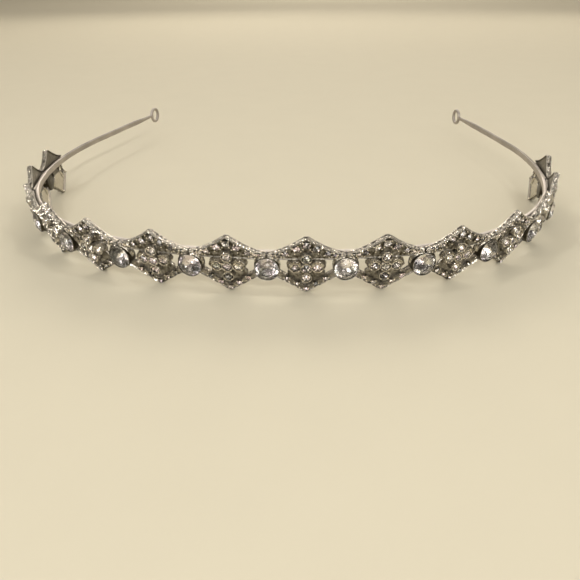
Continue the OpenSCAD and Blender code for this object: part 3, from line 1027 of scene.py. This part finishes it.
class TIARA_OT_plaques(bpy.types.Operator):
    """Make the cast plaques, in five runs along the band"""

    bl_idname = "tiara.plaques"
    bl_label = "Plaques"

    def execute(self, context):
        m = context.scene.tiara_metal
        metal = metal_material(
            "Antiqued casting", m.bright, m.dark, smoothness=0.12, relief=0.9,
            grain_scale=2200.0, mottle_scale=1600.0, contrast=1.0,
            marks=("Patina_Shade", "Grain"),
        )
        for name, numbers in (
            ("plaques_left_end", (-7, -6, -5)),
            ("plaques_left_bend", (-4, -3, -2)),
            ("plaques_front", (-1, 1)),
            ("plaques_right_bend", (2, 3, 4)),
            ("plaques_right_end", (5, 6, 7)),
        ):
            piece(name, plaques_shape(numbers), [metal], ["frame"])
        return {"FINISHED"}


class TIARA_OT_settings(bpy.types.Operator):
    """Make the cups of the large stones, the collars of the small ones and the grains"""

    bl_idname = "tiara.settings"
    bl_label = "Cups, collars and grains"

    def execute(self, context):
        m = context.scene.tiara_metal
        polished = metal_material(
            "Polished settings", [min(1, c * 1.1) for c in m.bright], m.dark, smoothness=0.1,
            relief=0.08, grain_scale=2600.0, mottle_scale=900.0, contrast=0.3,
        )
        for name, shape in (
            ("cups", cups_shape()), ("stone_collars", collars_shape()), ("grains", grains_shape())
        ):
            piece(name, shape, [polished], ["frame"])
        return {"FINISHED"}


class TIARA_OT_stones(bpy.types.Operator):
    """Cut the stones, and give them their glass and their silvered backs with painted reflections
    """

    bl_idname = "tiara.stones"
    bl_label = "Stones"

    def execute(self, context):
        s = context.scene.tiara_stones
        clear = glass_material("Clear cut glass", s.clear)
        smoky = glass_material("Pale smoky glass", s.smoky)
        # Both foils are patched with painted reflections and flashes of colour.
        foil = foil_with_painted_reflections(
            "Silver foil with painted reflections", (0.99, 0.96, 0.94), painted_fire=0.85, contrast=0.9, scale=750.0
        )
        aged_foil = foil_with_painted_reflections(
            "Aged foil with painted reflections", (0.86, 0.82, 0.78), painted_fire=0.3, contrast=0.9, scale=1300.0
        )
        facet_edge = 2.0
        stone = [(0.0, 0.0, CHATON_GIRDLE, WIDE_STONE)]
        for number in range(2 * SIDE_PLAQUES - 1):
            place = [p[number:number + 1] for p in cup_places()]
            shape, backing = stones_shape(stone, fine_cut(), place, 100 + number, settled)
            name = "%02d" % (number + 1)
            piece(
                "large_stone_" + name, shape, [clear, foil], ["chaton_" + name],
                facet_edge, backing,
            )
        for seed, (name, stones, nodes) in enumerate((
            ("petal_stones", FLOWER_STONES, ["flower_stones"]),
            ("pave_stones", ROOF_STONES, ["roof_stones"]),
            ("v_stones", CHEVRON_STONES, ["chevron_stones"]),
            ("tip_stones", TIP_STONES, []),
        ), start=200):
            shape, backing = stones_shape(stones, plain_cut(), plaque_places(NUMBERS), seed)
            piece(name, shape, [smoky, aged_foil], nodes, facet_edge, backing)
        return {"FINISHED"}


class TIARA_OT_stage(bpy.types.Operator):
    """Make the floor, the lights and the camera"""

    bl_idname = "tiara.stage"
    bl_label = "Stage"

    def execute(self, context):
        settings = context.scene.tiara_stage
        half = 3.0
        corners = [(-half, -half, 0), (half, -half, 0), (half, half, 0), (-half, half, 0)]
        mesh = bpy.data.meshes.new("floor")
        mesh.from_pydata(corners, [], [(0, 1, 2, 3)])
        floor = bpy.data.objects.new("floor", mesh)
        context.scene.collection.objects.link(floor)
        mesh.materials.append(floor_material(settings.floor))

        context.scene.view_settings.view_transform = "Standard"
        context.scene.world = studio_world()
        warm, cool, far = (1.0, 0.92, 0.82), (1.0, 0.97, 0.94), 2.1
        # All lamps but one are aimed at the middle; that one is aimed straight down
        for name, place, size, power in (
            ("Window", (-0.2, 0.75, 0.5), 0.36, 1.9),
            ("Far window", (0.0, 1.5, 0.6), 0.6, 2.2),
            ("Far floor", (0.0, far, 1.2), 1.6, 14.0),
            ("Second window", (0.4, 0.7, 0.4), 0.25, 0.8),
            ("Ceiling", (0.0, 0.1, 0.9), 0.9, 1.4),
            ("Front", (0.06, -0.52, 0.27), 0.24, 0.95),
            ("Panel 1", (-0.5, -0.35, 0.3), 0.2, 0.6),
            ("Panel 2", (0.55, -0.3, 0.3), 0.2, 0.6),
            ("Low front", (-0.1, -0.5, 0.1), 0.12, 0.25),
            ("Sparkle 1", (-0.12, -0.45, 0.5), 0.04, 0.6),
            ("Sparkle 2", (0.15, -0.5, 0.4), 0.04, 0.6),
            ("Sparkle 3", (-0.4, -0.1, 0.6), 0.04, 0.6),
            ("Sparkle 4", (0.4, -0.1, 0.6), 0.04, 0.6),
        ):
            light = bpy.data.lights.new(name, "AREA")
            light.size = size
            light.energy = power
            light.color = warm if place[1] > 0 else cool
            lamp = bpy.data.objects.new(name, light)
            context.scene.collection.objects.link(lamp)
            lamp.location = place
            away = Vector(place) - Vector((0.0, far if place[1] == far else 0.0, 0.0))
            lamp.rotation_euler = away.to_track_quat("Z", "Y").to_euler()

        camera = bpy.data.cameras.new("Camera")
        camera.sensor_width = 36.0
        camera.lens = settings.lens
        camera.clip_start = 0.005
        view = bpy.data.objects.new("Camera", camera)
        context.scene.collection.objects.link(view)
        view.location = (0.012110, -0.156707, 0.054676)
        view.rotation_euler = [math.radians(v) for v in (60.677, 0.59, 4.325)]
        context.scene.camera = view
        return {"FINISHED"}


class TIARA_PT_panel(bpy.types.Panel):
    """Lists the sizes and colours, and the steps in the order in which they are taken"""

    bl_label = "Headband tiara"
    bl_idname = "TIARA_PT_panel"
    bl_space_type = "VIEW_3D"
    bl_region_type = "UI"
    bl_category = "Tiara"

    def draw(self, context):
        layout = self.layout
        scene = context.scene
        for group in (scene.tiara_metal, scene.tiara_stones, scene.tiara_stage):
            for key in group.__annotations__:
                layout.prop(group, key)
        for step in STEPS:
            layout.operator(step.bl_idname)


SETTINGS = (MetalSettings, StoneSettings, StageSettings)
STEPS = (TIARA_OT_band, TIARA_OT_plaques, TIARA_OT_settings, TIARA_OT_stones, TIARA_OT_stage)


def register():
    for cls in SETTINGS + STEPS + (TIARA_PT_panel,):
        bpy.utils.register_class(cls)
    bpy.types.Scene.tiara_metal = PointerProperty(type=MetalSettings)
    bpy.types.Scene.tiara_stones = PointerProperty(type=StoneSettings)
    bpy.types.Scene.tiara_stage = PointerProperty(type=StageSettings)


def unregister():
    del bpy.types.Scene.tiara_stage
    del bpy.types.Scene.tiara_stones
    del bpy.types.Scene.tiara_metal
    for cls in reversed(SETTINGS + STEPS + (TIARA_PT_panel,)):
        bpy.utils.unregister_class(cls)


def main():
    register()
    bpy.ops.tiara.band()
    bpy.ops.tiara.plaques()
    bpy.ops.tiara.settings()
    bpy.ops.tiara.stones()
    bpy.ops.tiara.stage()


if __name__ == "__main__":
    main()
